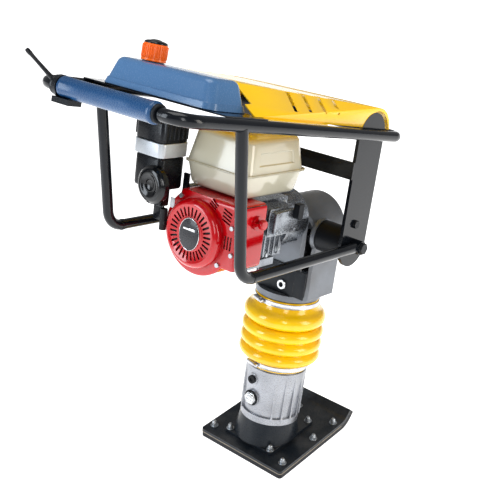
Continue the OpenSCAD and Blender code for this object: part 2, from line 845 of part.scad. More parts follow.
module frame_bolts() {
    color("#3a3c40") leaned() both_sides() {
        along_y(plate_u, plate_in + 0.3, plate_low_v) cylinder(r = 8, h = frame_y + 14 - plate_in);
        along_y(plate_u, frame_y + 12, plate_low_v) cylinder(r = 14, h = 8, $fn = 6);
    }
    color("gainsboro") leaned() both_sides() {
        along_y(plate_u - 8, plate_in + 0.3, plate_low_v + 54) cylinder(r = 6, h = 9);
        along_y(plate_u - 8, plate_in + side_plate_t, plate_low_v + 54)
            cylinder(r = 10, h = 7, $fn = 6);
    }
}

// One solid of the hood: its front is a roll across the machine, its back a low ridge
module hood_solid(r, half, rise, back, low) {
    hull() {
        leaned() along_y(roll_u, -half, plate_high_v) cylinder(r = r, h = 2 * half, $fn = 48);
        on_loop() {
            translate([back, -half, low]) cube([1, 2 * half, 1]);
            translate([back, -half + 84, low]) cube([1, 2 * half - 168, rise - low]);
        }
    }
}

module hood() {
    color("#f5cf00") {
        difference() {
            hood_solid(roll_r, 180, hood_rise, hood_back, 14);
            hood_solid(roll_r - sheet_t, 180 - sheet_t, hood_rise - sheet_t, hood_back - 1, 10);
            on_loop() translate([-500, -250, -200]) cube([900, 500, 200 + tube_r + 1]);
            leaned() along_y(roll_u, -200, plate_high_v) cylinder(r = roll_r - 7, h = 400);
            leaned() along_y(plate_u, -200, plate_high_v) cylinder(r = plate_half + 0.5, h = 400);
            on_loop() translate([tank_s, 0, tray_n + 0.2]) loaf(0.6);
            on_loop() translate([tank_s - 70, -200, tube_r]) cube([132.5, 400, tray_n - tube_r + 0.3]);
            both_sides() on_loop() for (i = [0 : 3]) translate([-172 + i * 48, 152, 50])
                rotate([35, 0, 24]) cube([7, 34, 60], center = true);
        }
        on_loop() both_sides() translate([tank_s + 62.5, 176, tube_r]) cube([207, 17, 2]);
    }
}

// A rounded loaf with sloping sides, across the machine
module loaf(grow) {
    base_r = 22;
    hull() for (x = [-1, 1], y = [-1, 1]) {
        translate([x * (tank_l / 2 - base_r), y * (tank_w - base_r), -grow])
            cylinder(r = base_r + grow, h = 12, $fn = hull_fn);
        translate([x * (tank_l / 2 - base_r - 6), y * (tank_w - base_r - 14), tank_h - 14])
            sphere(r = 14 + grow, $fn = hull_fn);
    }
}

module fuel_tank() {
    color("#52799f") on_loop() translate([tank_s, 0, tray_n + 0.2]) difference() {
        union() {
            loaf(0);
            translate([0, neck_y, tank_h - 10]) cylinder(r = cap_r - 4, h = 16);
        }
        loaf(-3.5);
        translate([0, neck_y, tank_h - 16]) cylinder(r = cap_r - 7, h = 40);
    }
}

module tank_cap() {
    color("#f07010") on_loop() translate([tank_s, neck_y, tray_n + tank_h + 1]) difference() {
        union() {
            cylinder(r = cap_r, h = 35);
            for (a = [0 : 15 : 345]) rotate([0, 0, a]) translate([cap_r - 1, -1.5, 2]) cube([2.2, 3, 31]);
        }
        translate([0, 0, -1]) cylinder(r = cap_r - 3.7, h = 9);
    }
    color("#1b1d20") on_loop() translate([tank_s, neck_y, tray_n + tank_h + 36]) {
        cylinder(r1 = cap_r - 2, r2 = cap_r - 9, h = 6);
        translate([0, 0, 6]) cylinder(r = 8, h = 3);
    }
}

module grip() {
    color("#2a5f9e") on_loop() difference() {
        translate([loop_back, -129, 0]) rotate([-90, 0, 0]) cylinder(r = grip_r, h = 251);
        translate([loop_back, -150, 0]) rotate([-90, 0, 0]) cylinder(r = tube_r, h = 280);
    }
}

module throttle_housing() {
    color("#1d1e21") on_loop() difference() {
        union() {
            translate([loop_back, 123, 0]) rotate([-90, 0, 0]) cylinder(r = grip_r + 1, h = 10);
            translate([loop_back - 16, 84, -grip_r - 11]) cube([32, 49, 11]);
        }
        translate([loop_back, 120, 0]) rotate([-90, 0, 0]) cylinder(r = tube_r, h = 40);
    }
}

module throttle_lever() {
    color("#202225") on_loop() difference() {
        union() {
            translate([loop_back, lever_y - 5.5, 0]) rotate([-90, 0, 0]) cylinder(r = 19, h = 10);
            translate([loop_back, lever_y, 0]) rotate([0, -46, 0]) rotate([-22, 0, 0]) translate([0, 0, 15])
                cylinder(r = 4.5, h = 72);
        }
        translate([loop_back, lever_y - 20, 0]) rotate([-90, 0, 0])
            cylinder(r = tube_r + running, h = 40);
    }
}

sole_plate();
shoe_plate();
shoe_nuts();
ankle_flange();
flange_nuts();
leg_casting();
filler_plug();
sight_plug();
lower_clamp();
spring_cylinder();
lower_spring();
upper_spring();
bellows();
guide_cylinder();
upper_clamp();
crankcase();
crankcase_cover();
cover_bolts();
neck_bracket();
gear_bearings();
rubber_buffers();
piston_rod();
spring_piston();
connecting_rod();
crank_pin();
crank_gear();
pinion_shaft();
clutch_drum();
bell_housing();
clutch_shoes();
crankshaft();
flywheel_fan();
engine_block();
cylinder_head();
spark_plug();
muffler();
carburetor();
air_cleaner_top();
air_cleaner_band();
air_cleaner_base();
air_cleaner_bowl();
fan_shroud();
recoil_cover();
shroud_screws();
starter_pulley();
starter_grip();
engine_switch();
engine_tank_lower();
engine_tank_upper();
side_plates();
top_loop();
lower_tubes();
cross_members();
frame_bolts();
hood();
fuel_tank();
tank_cap();
grip();
throttle_housing();
throttle_lever();
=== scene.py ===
from math import cos, pi, radians, sin

import bpy
from mathutils import Matrix, Vector


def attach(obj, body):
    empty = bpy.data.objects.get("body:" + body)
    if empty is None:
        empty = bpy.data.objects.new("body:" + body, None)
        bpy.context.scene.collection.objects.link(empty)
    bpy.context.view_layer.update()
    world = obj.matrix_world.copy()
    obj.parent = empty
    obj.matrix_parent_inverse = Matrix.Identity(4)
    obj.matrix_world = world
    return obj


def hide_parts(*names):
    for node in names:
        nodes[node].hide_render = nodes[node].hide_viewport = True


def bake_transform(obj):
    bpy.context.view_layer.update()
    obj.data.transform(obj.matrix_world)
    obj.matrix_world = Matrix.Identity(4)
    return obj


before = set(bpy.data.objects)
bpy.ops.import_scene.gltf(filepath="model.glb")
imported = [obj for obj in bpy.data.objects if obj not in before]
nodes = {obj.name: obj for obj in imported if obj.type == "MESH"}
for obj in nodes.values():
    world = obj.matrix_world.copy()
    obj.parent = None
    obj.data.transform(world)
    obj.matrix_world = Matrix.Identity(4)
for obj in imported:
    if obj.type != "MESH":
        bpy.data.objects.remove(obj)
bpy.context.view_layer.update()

# ---------------------------------------------------------------- stage
# A pale seamless floor under soft studio lamps. The camera stands behind the machine on its right,
# above the handle, and looks down and forward at it.
heading, dip, tilt = radians(39.76), radians(25.78), radians(1.21)
eye = Vector((-1.4987, -1.1693, 1.4781))
ahead = Vector((cos(dip) * cos(heading), cos(dip) * sin(heading), -sin(dip)))
side = Vector((sin(heading), -cos(heading), 0.0))
above = side.cross(ahead)
right = side * cos(tilt) + above * sin(tilt)
upward = above * cos(tilt) - side * sin(tilt)
lens_data = bpy.data.cameras.new("camera")
lens_data.sensor_width = 36.0
lens_data.lens = 861.0 / 500.0 * 36.0
camera = bpy.data.objects.new("camera", lens_data)
bpy.context.scene.collection.objects.link(camera)
turned = Matrix((right, upward, -ahead)).transposed().to_4x4()
camera.matrix_world = Matrix.Translation(eye) @ turned
bpy.context.scene.camera = camera


def lamp(name, place, size, watts, tint, target=(0.0, 0.0, 0.6)):
    data = bpy.data.lights.new(name, "AREA")
    data.shape = "RECTANGLE"
    data.size, data.size_y = size
    data.energy = watts
    data.color = tint
    ob = bpy.data.objects.new(name, data)
    bpy.context.scene.collection.objects.link(ob)
    ob.location = place
    ob.rotation_euler = (Vector(target) - Vector(place)).to_track_quat("-Z", "Y").to_euler()


lamp("overhead_softbox", (-0.4, 0.2, 3.4), (1.8, 1.8), 30, (1.0, 0.99, 0.97))
lamp("left_softbox", (-2.6, 1.3, 1.7), (1.0, 2.2), 36, (0.86, 0.93, 1.0))
lamp("right_softbox", (0.7, -2.9, 1.5), (1.2, 2.0), 32, (1.0, 0.95, 0.88))
lamp("rear_strip", (-2.3, -2.2, 2.4), (0.7, 2.0), 20, (1.0, 1.0, 1.0))

world = bpy.data.worlds.new("studio")
bpy.context.scene.world = world
world.use_nodes = True
world.node_tree.nodes["Background"].inputs["Color"].default_value = (1.0, 1.0, 1.0, 1.0)
world.node_tree.nodes["Background"].inputs["Strength"].default_value = 0.3
bpy.context.scene.view_settings.view_transform = "Standard"
bpy.context.scene.view_settings.look = "Medium High Contrast"


def alone(ob=None):
    """Leaves only ob selected and active, so that an operator acts on nothing else."""
    if bpy.context.object and bpy.context.object.mode != "OBJECT":
        bpy.ops.object.mode_set(mode="OBJECT")
    bpy.ops.object.select_all(action="DESELECT")
    if ob is not None:
        ob.select_set(True)
        bpy.context.view_layer.objects.active = ob
    return ob


alone()
bpy.ops.mesh.primitive_plane_add(size=40.0, location=(0.0, 0.0, -0.0006))
floor = bpy.context.object
floor.name = "floor"
floor_paint = bpy.data.materials.new("floor_paint")
floor_paint.use_nodes = True
floor_shader = floor_paint.node_tree.nodes["Principled BSDF"]
floor_shader.inputs["Base Color"].default_value = (0.95, 0.95, 0.95, 1.0)
floor_shader.inputs["Emission Color"].default_value = (1.0, 1.0, 1.0, 1.0)
floor_shader.inputs["Emission Strength"].default_value = 0.8
floor_shader.inputs["Roughness"].default_value = 0.8
floor.data.materials.append(floor_paint)

# ---------------------------------------------------------------- shoe
# The shoe is a steel plate bolted on a laminated sole, both bent up at the nose. It is painted
# black, and its edges are rubbed bare by the ground.


def new_group(name, inputs, outputs):
    """An empty shader group with float, colour or vector sockets, and its input and output nodes."""
    group = bpy.data.node_groups.new(name, "ShaderNodeTree")
    for way, sockets in (("INPUT", inputs), ("OUTPUT", outputs)):
        for label, kind, value in sockets:
            socket = group.interface.new_socket(label, in_out=way, socket_type="NodeSocket" + kind)
            if value is not None and way == "INPUT":
                socket.default_value = value
    return group, group.nodes.new("NodeGroupInput"), group.nodes.new("NodeGroupOutput")


def add(tree, kind, **values):
    node = tree.nodes.new("ShaderNode" + kind)
    for key, value in values.items():
        setattr(node, key, value)
    return node


def mix(tree, factor, first, second):
    """A colour mix; each argument is a socket or a plain value."""
    node = add(tree, "Mix", data_type="RGBA")
    for index, value in ((0, factor), (6, first), (7, second)):
        if isinstance(value, bpy.types.NodeSocket):
            tree.links.new(value, node.inputs[index])
        else:
            node.inputs[index].default_value = value
    return node.outputs[2]


def ramp(tree, value, low, high, out_low=0.0, out_high=1.0):
    node = add(tree, "MapRange")
    tree.links.new(value, node.inputs["Value"])
    for key, number in (("From Min", low), ("From Max", high), ("To Min", out_low), ("To Max", out_high)):
        node.inputs[key].default_value = number
    return node.outputs["Result"]


# Grain: fine and coarse noise on the piece, for colour drift, roughness and small bumps
grain_group, g_in, g_out = new_group(
    "grain", [("Scale", "Float", 300.0), ("Drift", "Float", 6.0)],
    [("Fine", "Float", None), ("Broad", "Float", None)])
g_place = add(grain_group, "TexCoord")
for label, key in (("Fine", "Scale"), ("Broad", "Drift")):
    g_noise = add(grain_group, "TexNoise")
    g_noise.inputs["Detail"].default_value = 5.0 if label == "Fine" else 3.0
    grain_group.links.new(g_place.outputs["Object"], g_noise.inputs["Vector"])
    grain_group.links.new(g_in.outputs[key], g_noise.inputs["Scale"])
    grain_group.links.new(g_noise.outputs["Fac"], g_out.inputs[label])

# Edge wear: a rounded shading normal, and a mask where it leaves the true one, broken up by noise
wear_group, w_in, w_out = new_group(
    "edge_wear", [("Radius", "Float", 0.0012), ("Patchiness", "Float", 45.0)],
    [("Mask", "Float", None), ("Normal", "Vector", None)])
w_bevel = add(wear_group, "Bevel", samples=4)
w_true = add(wear_group, "NewGeometry")
w_dot = add(wear_group, "VectorMath", operation="DOT_PRODUCT")
w_place = add(wear_group, "TexCoord")
w_noise = add(wear_group, "TexNoise")
w_noise.inputs["Detail"].default_value = 6.0
wear_group.links.new(w_in.outputs["Radius"], w_bevel.inputs["Radius"])
wear_group.links.new(w_bevel.outputs["Normal"], w_dot.inputs[0])
wear_group.links.new(w_true.outputs["Normal"], w_dot.inputs[1])
wear_group.links.new(w_place.outputs["Object"], w_noise.inputs["Vector"])
wear_group.links.new(w_in.outputs["Patchiness"], w_noise.inputs["Scale"])
w_edge = ramp(wear_group, w_dot.outputs["Value"], 0.985, 0.86)
w_patch = ramp(wear_group, w_noise.outputs["Fac"], 0.47, 0.62)
w_times = add(wear_group, "Math", operation="MULTIPLY")
wear_group.links.new(w_edge, w_times.inputs[0])
wear_group.links.new(w_patch, w_times.inputs[1])
wear_group.links.new(w_times.outputs[0], w_out.inputs["Mask"])
wear_group.links.new(w_bevel.outputs["Normal"], w_out.inputs["Normal"])

# Dust: settles on what faces up, in clouds
dust_group, d_in, d_out = new_group("dust", [("Amount", "Float", 0.2)], [("Mask", "Float", None)])
d_true = add(dust_group, "NewGeometry")
d_split = add(dust_group, "SeparateXYZ")
d_place = add(dust_group, "TexCoord")
d_noise = add(dust_group, "TexNoise")
d_noise.inputs["Scale"].default_value = 16.0
d_noise.inputs["Detail"].default_value = 7.0
dust_group.links.new(d_true.outputs["Normal"], d_split.inputs[0])
dust_group.links.new(d_place.outputs["Object"], d_noise.inputs["Vector"])
d_up = ramp(dust_group, d_split.outputs["Z"], 0.2, 1.0)
d_cloud = ramp(dust_group, d_noise.outputs["Fac"], 0.4, 0.7)
d_times = add(dust_group, "Math", operation="MULTIPLY")
d_amount = add(dust_group, "Math", operation="MULTIPLY")
dust_group.links.new(d_up, d_times.inputs[0])
dust_group.links.new(d_cloud, d_times.inputs[1])
dust_group.links.new(d_times.outputs[0], d_amount.inputs[0])
dust_group.links.new(d_in.outputs["Amount"], d_amount.inputs[1])
dust_group.links.new(d_amount.outputs[0], d_out.inputs["Mask"])


def finish(name, colour, drift=None, rough=(0.35, 0.5), metal=0.0, coat=0.0, scale=300.0, broad=6.0,
           bump=0.0004, bare=None, radius=0.0012, dust=0.0):
    """A painted, cast, moulded or ground surface, built from the grain, edge wear and dust groups.

    drift is the colour that the base wanders to, bare what shows through at worn edges.
    """
    material = bpy.data.materials.new(name)
    material.use_nodes = True
    tree = material.node_tree
    shader = tree.nodes["Principled BSDF"]
    shader.inputs["Metallic"].default_value = metal
    shader.inputs["Coat Weight"].default_value = coat
    shader.inputs["Coat Roughness"].default_value = 0.08
    shader.inputs["Specular IOR Level"].default_value = 0.5 if max(colour) > 0.1 else 0.28
    grain = add(tree, "Group", node_tree=grain_group)
    grain.inputs["Scale"].default_value = scale
    grain.inputs["Drift"].default_value = broad
    wear = add(tree, "Group", node_tree=wear_group)
    wear.inputs["Radius"].default_value = radius
    base = (*colour, 1.0)
    drifted = (*(drift or tuple(min(1.0, c * 0.72) for c in colour)), 1.0)
    tone = mix(tree, ramp(tree, grain.outputs["Broad"], 0.35, 0.68), base, drifted)
    roughness = ramp(tree, grain.outputs["Fine"], 0.3, 0.7, *rough)
    if bare is not None:
        tone = mix(tree, wear.outputs["Mask"], tone, (*bare, 1.0))
    if dust:
        film = add(tree, "Group", node_tree=dust_group)
        film.inputs["Amount"].default_value = dust
        tone = mix(tree, film.outputs["Mask"], tone, (0.42, 0.4, 0.36, 1.0))
    relief = add(tree, "Bump")
    relief.inputs["Distance"].default_value = bump
    relief.inputs["Strength"].default_value = 0.6
    tree.links.new(grain.outputs["Fine"], relief.inputs["Height"])
    tree.links.new(wear.outputs["Normal"], relief.inputs["Normal"])
    tree.links.new(tone, shader.inputs["Base Color"])
    tree.links.new(roughness, shader.inputs["Roughness"])
    tree.links.new(relief.outputs["Normal"], shader.inputs["Normal"])
    return material


def paint(material, *names):
    """Puts a material on CAD nodes."""
    for name in names:
        nodes[name].data.materials.clear()
        nodes[name].data.materials.append(material)
    return material


shoe_black = finish("shoe_black", (0.012, 0.017, 0.024), (0.02, 0.026, 0.034), (0.22, 0.42), 0.0,
                    0.15, 420.0, 9.0, 0.0005, (0.2, 0.19, 0.18), 0.0014, 0.12)
sole_laminate = finish("sole_laminate", (0.01, 0.012, 0.016), (0.022, 0.022, 0.026), (0.35, 0.6), 0.0,
                       0.0, 500.0, 12.0, 0.0008, (0.09, 0.075, 0.06), 0.0016)
zinc = finish("zinc", (0.5, 0.53, 0.56), (0.36, 0.38, 0.4), (0.2, 0.42), 0.85, 0.0, 700.0, 60.0,
              0.0002, (0.75, 0.77, 0.8), 0.0006)
paint(shoe_black, "shoe_plate", "ankle_flange")
paint(sole_laminate, "sole_plate")


def settle(ob, place=None):
    """Moves ob by a matrix and applies its place, so that the object sits at the origin."""
    alone(ob)
    bpy.context.view_layer.update()
    if place is not None:
        ob.matrix_world = place @ ob.matrix_world
    bpy.ops.object.transform_apply(location=True, rotation=True, scale=True)
    return ob


def dress(ob, name, material, body, angle=35.0):
    """Names a finished piece, gives it its material and shading, and sets it on its body."""
    ob.name = ob.data.name = name
    ob.data.materials.clear()
    ob.data.materials.append(material)
    alone(ob)
    bpy.ops.object.shade_smooth_by_angle(angle=radians(angle))
    if body:
        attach(ob, body)
    return ob


def lathe(profile, turns=96):
    """A ring extruded along a profile of (radius, height) points in metres: closed, or axis to axis."""
    alone()
    on_axis = profile[0][0] == 0.0
    points = [(max(radius, 0.00003), height) for radius, height in profile]
    radius, height = points[0]
    bpy.ops.mesh.primitive_circle_add(vertices=turns, radius=radius, location=(0.0, 0.0, height))
    ob = settle(bpy.context.object)
    bpy.ops.object.mode_set(mode="EDIT")
    bpy.ops.mesh.select_mode(type="EDGE")
    bpy.ops.mesh.select_all(action="SELECT")
    for new_radius, new_height in points[1:] + ([] if on_axis else points[:1]):
        bpy.ops.mesh.extrude_region_move(
            TRANSFORM_OT_translate={"value": (0.0, 0.0, new_height - height)})
        grow = new_radius / radius
        bpy.ops.transform.resize(value=(grow, grow, 1.0), center_override=(0.0, 0.0, new_height))
        radius, height = new_radius, new_height
    bpy.ops.mesh.select_all(action="SELECT")
    bpy.ops.mesh.remove_doubles(threshold=0.00008)
    bpy.ops.mesh.delete_loose(use_verts=True, use_edges=True, use_faces=False)
    bpy.ops.mesh.select_all(action="SELECT")
    bpy.ops.mesh.normals_make_consistent(inside=False)
    bpy.ops.object.mode_set(mode="OBJECT")
    return ob


def block(size, centre, place=None):
    """A box of the given size about its centre."""
    alone()
    bpy.ops.mesh.primitive_cube_add(size=1.0, location=centre)
    ob = bpy.context.object
    ob.scale = size
    return settle(ob, place)


def rod(radius, length, centre, axis="Z", turns=48):
    """A round bar about its centre, along one axis."""
    alone()
    spin = {"Z": (0.0, 0.0, 0.0), "Y": (pi / 2, 0.0, 0.0), "X": (0.0, pi / 2, 0.0)}[axis]
    bpy.ops.mesh.primitive_cylinder_add(vertices=turns, radius=radius, depth=length, location=centre,
                                        rotation=spin)
    return settle(bpy.context.object)


def pick(ob, test, kind="FACE"):
    """Selects the faces or edges whose centre and direction pass the test, and leaves edit mode on."""
    alone(ob)
    bpy.ops.object.mode_set(mode="EDIT")
    bpy.ops.mesh.select_mode(type=kind)
    bpy.ops.mesh.select_all(action="DESELECT")
    bpy.ops.object.mode_set(mode="OBJECT")
    mesh = ob.data
    if kind == "FACE":
        for face in mesh.polygons:
            face.select = bool(test(face.center, face.normal))
    else:
        for edge in mesh.edges:
            a, b = (mesh.vertices[i].co for i in edge.vertices)
            edge.select = bool(test((a + b) / 2.0, (b - a).normalized()))
    bpy.ops.object.mode_set(mode="EDIT")


def cut_through(ob, point, across, drop_outer=False, drop_inner=False):
    """Cuts the whole mesh by a plane, and keeps both sides unless one is dropped."""
    alone(ob)
    bpy.ops.object.mode_set(mode="EDIT")
    bpy.ops.mesh.select_all(action="SELECT")
    bpy.ops.mesh.bisect(plane_co=point, plane_no=across, clear_outer=drop_outer, clear_inner=drop_inner,
                        use_fill=False)


def join_up(parts):
    alone(parts[0])
    for part in parts[1:]:
        part.select_set(True)
    bpy.ops.object.join()
    return parts[0]


def carve(ob, cutter, mode="DIFFERENCE"):
    """Cuts one piece with another, which is then removed."""
    alone(ob)
    change = ob.modifiers.new("carve", "BOOLEAN")
    change.operation = mode
    change.solver = "EXACT"
    change.object = cutter
    bpy.ops.object.modifier_apply(modifier=change.name)
    bpy.data.objects.remove(cutter, do_unlink=True)
    return ob


def soften(ob, width, segments=2, angle=30.0):
    """Rounds the sharp edges of a piece."""
    alone(ob)
    change = ob.modifiers.new("soften", "BEVEL")
    change.width = width
    change.segments = segments
    change.limit_method = "ANGLE"
    change.angle_limit = radians(angle)
    bpy.ops.object.modifier_apply(modifier=change.name)
    return ob


nut_mesh = lathe([(0.0, 0.0), (0.0106, 0.0), (0.0108, 0.0004), (0.0108, 0.0016), (0.0104, 0.002),
                  (0.0, 0.002)], 40)
nut_hex = soften(rod(0.008, 0.0068, (0.0, 0.0, 0.0053), "Z", 6), 0.0009)
nut_dome = lathe([(0.0, 0.008), (0.0062, 0.008), (0.0062, 0.0105), (0.0058, 0.0128), (0.0046, 0.0148),
                  (0.0028, 0.016), (0.0, 0.0165)], 32)
acorn = join_up([nut_mesh, nut_hex, nut_dome])
nut_spots = [(x, y, 0.023) for x in (-0.087, 0.046, 0.138) for y in (-0.118, 0.118)] + [(0.138, 0.0, 0.023)]
flange_spots = [(0.005 + x, y, 0.033) for x in (-0.082, 0.082) for y in (-0.069, 0.069)]
nut_groups = ((nut_spots, "plate_nuts", "shoe_nuts"), (flange_spots, "ankle_nuts", "flange_nuts"))
for spots, name, node in nut_groups:
    copies = []
    for spot in spots:
        alone(acorn)
        bpy.ops.object.duplicate()
        copies.append(settle(bpy.context.object, Matrix.Translation(spot) @ Matrix.Diagonal((1, 1, 0.97, 1))))
    nuts = join_up(copies)
    dress(nuts, name, zinc, "foot", 35.0)
    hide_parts(node)
bpy.data.objects.remove(acorn, do_unlink=True)
# A thin tan strip between the plate and the sole is a painted highlight: the light line along the edge where
# the two layers meet.
highlight_tan = finish("highlight_tan", (0.42, 0.36, 0.28), None, (0.5, 0.7), 0.0, 0.0, 500.0, 20.0, 0.0004)
highlight_strip = block((0.2712, 0.2762, 0.002), (0.0153, 0.0, 0.0142))
pick(highlight_strip, lambda c, d: abs(d.z) > 0.9 and c.x < 0.0, "EDGE")
bpy.ops.mesh.bevel(offset=0.009, segments=5, affect="EDGES")
bpy.ops.object.mode_set(mode="OBJECT")
dress(highlight_strip, "shoe_highlight_strip", highlight_tan, "foot")

# ---------------------------------------------------------------- leg
# The leg is a ribbed aluminium casting, left as cast and filled with oil. A rubber filler plug and
# a hexagonal oil sight with a slotted screw sit in bosses on its back.
lean = radians(10.0)
leg = Matrix.Translation((-0.012, 0.0, 0.0)) @ Matrix.Rotation(lean, 4, "Y")
cast_alloy = finish("cast_alloy", (0.4, 0.415, 0.45), (0.3, 0.31, 0.335), (0.22, 0.38), 0.72, 0.0,
                    520.0, 14.0, 0.0007, (0.62, 0.64, 0.67), 0.0016, 0.0)
black_rubber = finish("black_rubber", (0.01, 0.012, 0.016), None, (0.35, 0.55), 0.0, 0.0, 600.0, 20.0,
                      0.0004, None, 0.0012, 0.0)
ground_steel = finish("ground_steel", (0.42, 0.43, 0.45), None, (0.16, 0.34), 0.95, 0.0, 900.0, 30.0,
                      0.0002, None, 0.0006)
sight_steel = finish("sight_steel", (0.62, 0.64, 0.66), None, (0.14, 0.28), 0.9, 0.0, 900.0, 30.0, 0.0001,
                     (0.8, 0.8, 0.82), 0.0006)
paint(cast_alloy, "leg_casting")
paint(black_rubber, "filler_plug")
paint(ground_steel, "spring_cylinder", "guide_cylinder", "piston_rod", "spring_piston", "crank_pin",
      "gear_bearings", "crankshaft", "pinion_shaft")
sight_hex = soften(rod(0.018, 0.0068, (-0.0846, 0.008, 0.144), "X", 6), 0.0014, 3)
sight_collar = soften(rod(0.0135, 0.0025, (-0.0890, 0.008, 0.144), "X"), 0.0006)
sight_screw = carve(soften(rod(0.0085, 0.0034, (-0.0903, 0.008, 0.144), "X"), 0.0008),
                    block((0.003, 0.02, 0.0018), (-0.0918, 0.008, 0.144)))
sight = join_up([sight_hex, sight_collar, sight_screw])
dress(settle(sight, leg), "oil_sight", sight_steel, "foot", 30.0)
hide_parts("sight_plug")
boss_ring = lathe([(0.0165, -0.082), (0.0205, -0.082), (0.0212, -0.0812), (0.0212, -0.079),
                   (0.0165, -0.079)], 64)
dress(settle(boss_ring, leg @ Matrix.Translation((0.0, 0.008, 0.144)) @ Matrix.Rotation(pi / 2, 4, "Y")),
      "sight_seal", black_rubber, "foot")

# ---------------------------------------------------------------- clamps
# Two stainless worm-drive clamps hold the bellows: one on the leg, one under the crankcase. Each
# band is pressed from strip and closed by a screw in a small housing.
stainless = finish("stainless", (0.62, 0.63, 0.65), (0.5, 0.5, 0.52), (0.16, 0.3), 0.9, 0.0, 800.0, 40.0,
                   0.0002, (0.75, 0.75, 0.75), 0.0005)


def hose_clamp(name, height, turn, node, body):
    low, high = height + 0.0004, height + 0.0126
    band = lathe([(0.0826, low), (0.0836, low), (0.0842, low + 0.0008), (0.0838, low + 0.002),
                  (0.0838, high - 0.002), (0.0842, high - 0.0008), (0.0836, high), (0.0826, high)], 128)
    middle = height + 0.0065
    shell = block((0.0092, 0.0258, 0.0118), (0.0881, 0.0, middle))
    pick(shell, lambda c, d: c.x > 0.0925 and abs(d.y) > 0.9, "EDGE")
    bpy.ops.mesh.bevel(offset=0.0042, segments=4, affect="EDGES")
    bpy.ops.object.mode_set(mode="OBJECT")
    screw = soften(rod(0.0048, 0.038, (0.088, 0.006, middle), "Y", 24), 0.0006)
    head = soften(rod(0.0052, 0.0075, (0.088, 0.0212, middle), "Y", 6), 0.0007)
    carve(head, block((0.011, 0.004, 0.0012), (0.088, 0.0254, middle)))
    clamp = settle(join_up([band, shell, screw, head]), Matrix.Rotation(radians(turn), 4, "Z"))
    dress(settle(clamp, leg), name, stainless, body, 30.0)
    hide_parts(node)


hose_clamp("leg_clamp", 0.236, 166.0, "lower_clamp", "foot")
hose_clamp("neck_clamp", 0.41, 158.0, "upper_clamp", "machine")

# ---------------------------------------------------------------- bellows
# The bellows is one thick moulding of yellow polyurethane rubber with four round folds, the top one
# the largest. Its lips are clamped.
fold_heights = (0.271, 0.303, 0.336, 0.375)
fold_sizes = (0.0175, 0.0175, 0.0175, 0.0245)
fold_reach = 0.1065
bellows_outside = [(0.0805, 0.2325), (0.0816, 0.234), (0.0816, 0.25), (0.0825, 0.2525), (0.0865, 0.2545)]
for fold_z, fold_r in zip(fold_heights, fold_sizes):
    for step in range(-4, 5):
        turn = radians(step * 19.0)
        bellows_outside.append((fold_reach - fold_r * (1.0 - cos(turn)), fold_z + fold_r * 0.93 * sin(turn)))
bellows_outside += [(0.087, 0.4), (0.0816, 0.405), (0.0816, 0.4245), (0.0805, 0.426)]
bellows_inside = [(0.0775, 0.4255), (0.0775, 0.405), (0.083, 0.394), (0.083, 0.268), (0.0775, 0.262),
                  (0.0775, 0.233)]
bellows = settle(lathe(bellows_outside + bellows_inside, 128), leg)
bellows_rubber = finish("bellows_rubber", (0.9, 0.58, 0.0), (0.8, 0.44, 0.0), (0.12, 0.26), 0.0, 0.5,
                        160.0, 8.0, 0.0004, (0.7, 0.4, 0.03), 0.002, 0.03)
dress(bellows, "bellows_rubber", bellows_rubber, None, 70.0)
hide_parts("bellows")
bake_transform(bellows)

# ---------------------------------------------------------------- crankcase
# The crankcase is a grey aluminium casting with a round top and flat sides, and a cover closes its front.
# A near-black plate on its rear, with a steel eye in it, is painted shade for the crankcase's rear side.
case_alloy = finish("case_alloy", (0.2, 0.215, 0.24), (0.15, 0.155, 0.165), (0.3, 0.46), 0.5, 0.0, 420.0,
                    10.0, 0.0008, (0.45, 0.46, 0.48), 0.0018, 0.08)
dark_paint = finish("dark_paint", (0.02, 0.023, 0.028), None, (0.3, 0.5), 0.1, 0.0, 380.0, 12.0, 0.0005,
                    (0.16, 0.15, 0.14), 0.0012, 0.08)
paint(case_alloy, "crankcase", "crankcase_cover")
paint(zinc, "cover_bolts")
paint(dark_paint, "frame_bolts")
paint(black_rubber, "rubber_buffers")
bright_steel = finish("bright_steel", (0.7, 0.72, 0.74), None, (0.12, 0.24), 0.9, 0.0, 800.0, 30.0, 0.0001)
# The near-black plate is painted shade: it darkens the rear side of the crankcase.
shade_plate = soften(block((0.004, 0.112, 0.077), (-0.062, -0.001, 0.4845)), 0.0008)
carve(shade_plate, rod(0.009, 0.02, (-0.062, -0.023, 0.469), "X"))
shade_plate = join_up([shade_plate, soften(block((0.0038, 0.034, 0.07), (-0.062, -0.0725, 0.482)), 0.0008)])
dress(settle(shade_plate, leg), "crankcase_shade_plate", dark_paint, "machine")
eye_ring = lathe([(0.0065, -0.0698), (0.0115, -0.0698), (0.013, -0.0684), (0.013, -0.0642),
                  (0.0065, -0.0642)], 48)
dress(settle(eye_ring, leg @ Matrix.Translation((0.0, -0.023, 0.469)) @ Matrix.Rotation(pi / 2, 4, "Y")),
      "crankcase_rear_bush", bright_steel, "machine", 40.0)
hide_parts("neck_bracket")

# ---------------------------------------------------------------- drive
# Inside the crankcase a pinion on the clutch drum turns the crank gear, whose pin works the
# connecting rod and the piston between two coil springs.
spring_wire = finish("spring_wire", (0.1, 0.11, 0.13), None, (0.3, 0.5), 0.8, 0.0, 700.0, 20.0, 0.0002)
forged_steel = finish("forged_steel", (0.24, 0.25, 0.27), None, (0.3, 0.5), 0.9, 0.0, 500.0, 20.0, 0.0004)
paint(spring_wire, "lower_spring", "upper_spring")
paint(forged_steel, "connecting_rod", "crank_gear", "clutch_drum", "clutch_shoes")
fan_alloy = finish("fan_alloy", (0.28, 0.28, 0.29), None, (0.4, 0.6), 0.6, 0.0, 400.0, 12.0, 0.0006)
paint(fan_alloy, "flywheel_fan")

